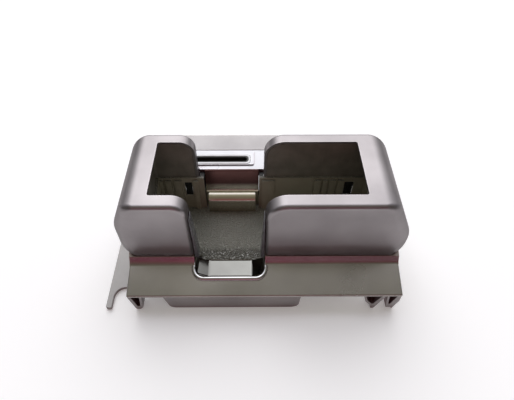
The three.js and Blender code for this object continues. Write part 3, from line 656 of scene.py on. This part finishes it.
def tub_plastic():
    """Smooth walls painted lighter than the floor as painted light, and a grained floor that is coarse and
    glittering at the front.
    """
    made, tree, shader = material("tub_plastic", TUB_WALLS_LIGHTENED, 0.33)
    geometry = tree.nodes.new("ShaderNodeNewGeometry")
    split = tree.nodes.new("ShaderNodeSeparateXYZ")
    tree.links.new(geometry.outputs["True Normal"], split.inputs["Vector"])
    upward = spread(tree, split.outputs["Z"], 0, 1, 0.8, 0.9)
    walls = blend_colours(tree, spread(tree, noise(tree, 60, 6.0), 0, 0.5), TUB_WALLS_LIGHTENED, TUB_DUST)
    # Painted light: every face but the upward ones takes the lighter wall colours.
    tree.links.new(blend_colours(tree, upward, walls, TUB_FLOOR), shader.inputs["Base Color"])
    grains = multiply(tree, spread(tree, noise(tree, 620, 1.5), 0, 1, 0.35, 0.65), upward)
    bump(tree, shader, multiply(tree, grains, along(tree, "Y", *COARSE_END, 1, 0.25)), 1.0, 0.0055)
    bump(tree, shader, noise(tree, 1500, 2.0), 0.2, 0.0002)
    tree.links.new(along(tree, "Y", *COARSE_END, 1.0, 0.35), shader.inputs["Specular IOR Level"])
    tree.links.new(along(tree, "Y", *COARSE_END, 0.2, 0.33), shader.inputs["Roughness"])
    return made


SMOKE = (0.02, 0.012, 0.01)


def chrome_plating(name, colour, roughness, axis, change, beyond):
    """Slightly clouded chrome, which changes to the tint beyond over a stretch of an axis; that change paints
    light: a highlight on the cup's rim and a dark reflection in the scoop's recess.
    """
    made, tree, shader = material(name, colour, roughness, 1.0)
    tint = blend_colours(tree, along(tree, axis, *change), colour, beyond)
    clouds = spread(tree, noise(tree, 30, 4.0), 0, 0.2)
    tree.links.new(blend_colours(tree, clouds, tint, SMOKE), shader.inputs["Base Color"])
    cloudy = spread(tree, noise(tree, 90, 6.0), roughness - 0.02, roughness + 0.06)
    tree.links.new(cloudy, shader.inputs["Roughness"])
    bump(tree, shader, noise(tree, 60, 1.0), 0.04, 0.0004)
    return made


def clear_guide():
    """Milky plastic that carries the lamps' light around the slot."""
    made, tree, shader = material("milky_guide", (0.86, 0.88, 0.9), 0.22)
    tree.links.new(spread(tree, noise(tree, 120, 3.0), 0.15, 0.32), shader.inputs["Roughness"])
    shader.inputs["Subsurface Weight"].default_value = 0.3
    shader.inputs["Subsurface Radius"].default_value = (0.002, 0.002, 0.002)
    shader.inputs["Subsurface Scale"].default_value = 1.0
    bump(tree, shader, noise(tree, 400, 2.0), 0.05, 0.0002)
    return made


def circuit_board():
    """Green solder mask, blotchy over the copper."""
    made, tree, shader = material("solder_mask", (0.02, 0.12, 0.05), 0.3)
    blotches = spread(tree, noise(tree, 220, 2.0), 0, 1)
    mix = blend_colours(tree, blotches, (0.015, 0.1, 0.04), (0.03, 0.16, 0.07))
    tree.links.new(mix, shader.inputs["Base Color"])
    bump(tree, shader, noise(tree, 700, 1.0), 0.1, 0.0002)
    return made


def turned_steel():
    """Steel with fine turning marks around Z."""
    made, tree, shader = material("turned_steel", (0.55, 0.55, 0.54), 0.32, 1.0)
    mix = blend_colours(tree, spread(tree, noise(tree, 300), 0, 1), (0.42, 0.42, 0.41), (0.6, 0.6, 0.58))
    tree.links.new(mix, shader.inputs["Base Color"])
    marks = noise(tree, 500, stretch=(1, 1, 6))
    tree.links.new(spread(tree, marks, 0.22, 0.45), shader.inputs["Roughness"])
    return made


# --- camera, floor and light ---


def make_camera():
    """The photograph's point of view."""
    data = bpy.data.cameras.new("camera")
    data.lens = CAMERA_LENS
    camera = bpy.data.objects.new("camera", data)
    bpy.context.scene.collection.objects.link(camera)
    turn = (
        Matrix.Rotation(CAMERA_YAW, 4, "Z")
        @ Matrix.Rotation(math.pi / 2 - CAMERA_PITCH, 4, "X")
        @ Matrix.Rotation(CAMERA_ROLL, 4, "Z")
    )
    camera.matrix_world = Matrix.Translation(CAMERA_PLACE) @ turn
    bpy.context.scene.camera = camera


FLOOR_SIZE, FLOOR_DROP = 4000, 0.2  # just below the resting plane
FLOOR_WHITE = (0.93, 0.93, 0.93)
FLOOR_GLOW = 0.22  # a light table, so that the floor stays nearly white


def make_floor():
    """A plain pale floor, as wide as the view needs."""
    bm = bmesh.new()
    bmesh.ops.create_grid(bm, x_segments=1, y_segments=1, size=FLOOR_SIZE)
    floor = new_object("floor", bm)
    look, _, shader = material("floor", FLOOR_WHITE, 0.6)
    shader.inputs["Emission Color"].default_value = (1, 1, 1, 1)
    shader.inputs["Emission Strength"].default_value = FLOOR_GLOW
    floor.data.materials.append(look)
    floor.location.z = -FLOOR_DROP * MM


# The studio's brightness from the camera's side (0) to behind the object (1).
SKY = [
    (0.02, (0.62, 0.15, 0.26)),
    (0.07, (0.24, 0.12, 0.12)),
    (0.28, (0.22, 0.19, 0.155)),
    (0.42, (0.35, 0.34, 0.275)),
    (0.51, (0.46, 0.44, 0.39)),
    (0.58, (1.5, 1.5, 1.7)),
    (0.8, (2.8, 2.8, 2.84)),
]
HORIZON_DIM = 0.18  # the walls around the studio are dimmer than what hangs above it
LEFT_DIM, RIGHT_DIM = 0.26, 0.42  # and so is its ceiling, left and right of the object
LEFT_LIFT, RIGHT_DROP = 1.14, 0.9  # the main light is a little to the left


def make_light():
    """A studio that is bright above and behind the object, and dim on the camera's side."""
    world = bpy.data.worlds.new("studio")
    bpy.context.scene.world = world
    world.use_nodes = True
    tree = world.node_tree
    split = tree.nodes.new("ShaderNodeSeparateXYZ")
    tree.links.new(tree.nodes.new("ShaderNodeTexCoord").outputs["Generated"], split.inputs["Vector"])
    ramp = tree.nodes.new("ShaderNodeValToRGB")
    ramp.color_ramp.interpolation = "EASE"
    stops = ramp.color_ramp.elements
    stops[0].position, stops[0].color = SKY[0][0], (*SKY[0][1], 1)
    stops[1].position, stops[1].color = SKY[-1][0], (*SKY[-1][1], 1)
    for position, colour in SKY[1:-1]:
        stops.new(position).color = (*colour, 1)
    tree.links.new(spread(tree, split.outputs["Y"], 0, 1, -1, 1), ramp.inputs["Fac"])
    background = tree.nodes["Background"]
    tree.links.new(ramp.outputs["Color"], background.inputs["Color"])
    belt = spread(tree, split.outputs["Z"], HORIZON_DIM, 1, 0.05, 0.45)
    left = spread(tree, split.outputs["X"], LEFT_DIM, 1, -0.6, -0.38)
    right = spread(tree, split.outputs["X"], 1, RIGHT_DIM, 0.38, 0.6)
    lean = spread(tree, split.outputs["X"], LEFT_LIFT, RIGHT_DROP, -0.35, 0.3)
    strength = multiply(tree, multiply(tree, belt, lean), multiply(tree, left, right))
    tree.links.new(strength, background.inputs["Strength"])
    bpy.context.scene.view_settings.view_transform = "Standard"


make_camera()
make_floor()
make_light()

# --- looks ---

HOOD_SILVER = silver_paint("hood_silver", (0.30, 0.28, 0.285), 0.34, 0.85)
# The plate's edges get a stronger painted highlight (2.5).
PLATE_SILVER = silver_paint("plate_silver", (0.35, 0.335, 0.315), 0.22, 0.94, 2.5)
TRAY_SILVER = silver_paint("tray_silver", (0.32, 0.30, 0.30), 0.42, 0.6)
BRIGHT_SILVER = silver_paint("bright_silver", (0.44, 0.44, 0.46), 0.3, 0.6)
LIGHT_GREY = silver_paint("light_grey", (0.32, 0.31, 0.30), 0.42, 0.4)
TEXTURED = dark_plastic("dark_textured", (0.165, 0.155, 0.13), 0.42, 0.5, 620)
# Painted shade: the notch's cheeks get a near-black plastic for the shade on the notch's sides.
NOTCH_SHADE_PLASTIC = dark_plastic("notch_painted_shade", (0.075, 0.075, 0.08), 0.28, 0.15, 900)
BLACK = dark_plastic("black_plastic", (0.012, 0.012, 0.010), 0.5, 0.2, 1200)
LENS = dark_plastic("black_lens", (0.004, 0.004, 0.004), 0.14, 0.02, 300)
# Painted highlight: the cup's rim, above 34.5 mm, has a lighter chrome colour than the dish below 33 mm.
CHROME = chrome_plating("smoked_chrome", (0.19, 0.19, 0.18), 0.05, "Z", (33, 34.5), (0.6, 0.6, 0.6))
# Painted reflection: behind Y 40 mm the scoop's recess is tinted dark maroon, for the dark surroundings that
# it mirrors.
RECESS_PAINTED_REFLECTION = (0.085, 0.042, 0.038)
SATIN_CHROME = chrome_plating("satin_chrome", (0.6, 0.56, 0.45), 0.18, "Y", (38.5, 40), RECESS_PAINTED_REFLECTION)
LOOKS = {
    "silver_hood": HOOD_SILVER,
    "silver_plate": PLATE_SILVER,
    "silver_tray": TRAY_SILVER,
    "light_grey": LIGHT_GREY,
    "bright_silver": BRIGHT_SILVER,
    "dark_textured": TEXTURED,
    "black_plastic": BLACK,
    "black_lens": LENS,
    "chromed_plastic": CHROME,
    "clear_guide": clear_guide(),
    "circuit_board": circuit_board(),
    "steel": turned_steel(),
}
for part in frame["record"]["subparts"]:
    node = NODES[part["node"]]
    node.data.materials.clear()
    node.data.materials.append(LOOKS[part["material_slot"]])

NODES["note_tub"].data.materials[0] = tub_plastic()
for side in HORNS:
    # Painted shade on the notch's sides.
    NODES[f"notch_cheek_{side}"].data.materials[0] = NOTCH_SHADE_PLASTIC
    NODES[f"scoop_filler_{side}"].data.materials[0] = BLACK
NODES["card_flap"].data.materials[0] = dark_plastic("flap_grey", (0.13, 0.13, 0.105), 0.5, 0.2, 900)

# --- pieces ---

EDGE, SMALL_EDGE = 0.4, 0.15
EDGE_WIDTHS = {"mounting_ear": 0.6, "card_flap": 0.15, "flap_pin": 0.1, "slot_frame": 0.3}


def edge_width(name):
    """How wide the rounded edges of a CAD node are."""
    small = "screw" in name or "indicator" in name
    return EDGE_WIDTHS.get(name, SMALL_EDGE if small else EDGE)


for side in HORNS:
    finish_piece(make_hood(side), f"hood_{side}", HOOD_SILVER, EDGE)
finish_piece(make_plate(), "fascia_plate", PLATE_SILVER, SMALL_EDGE, segments=1)
finish_piece(make_cup(), "front_finger_cup", CHROME, 0.3, angle=50)
finish_piece(make_scoop(), "rear_finger_scoop", SATIN_CHROME, 1.1, segments=4, angle=30)

for name, node in NODES.items():
    if not node.hide_render:
        soften(node, edge_width(name))
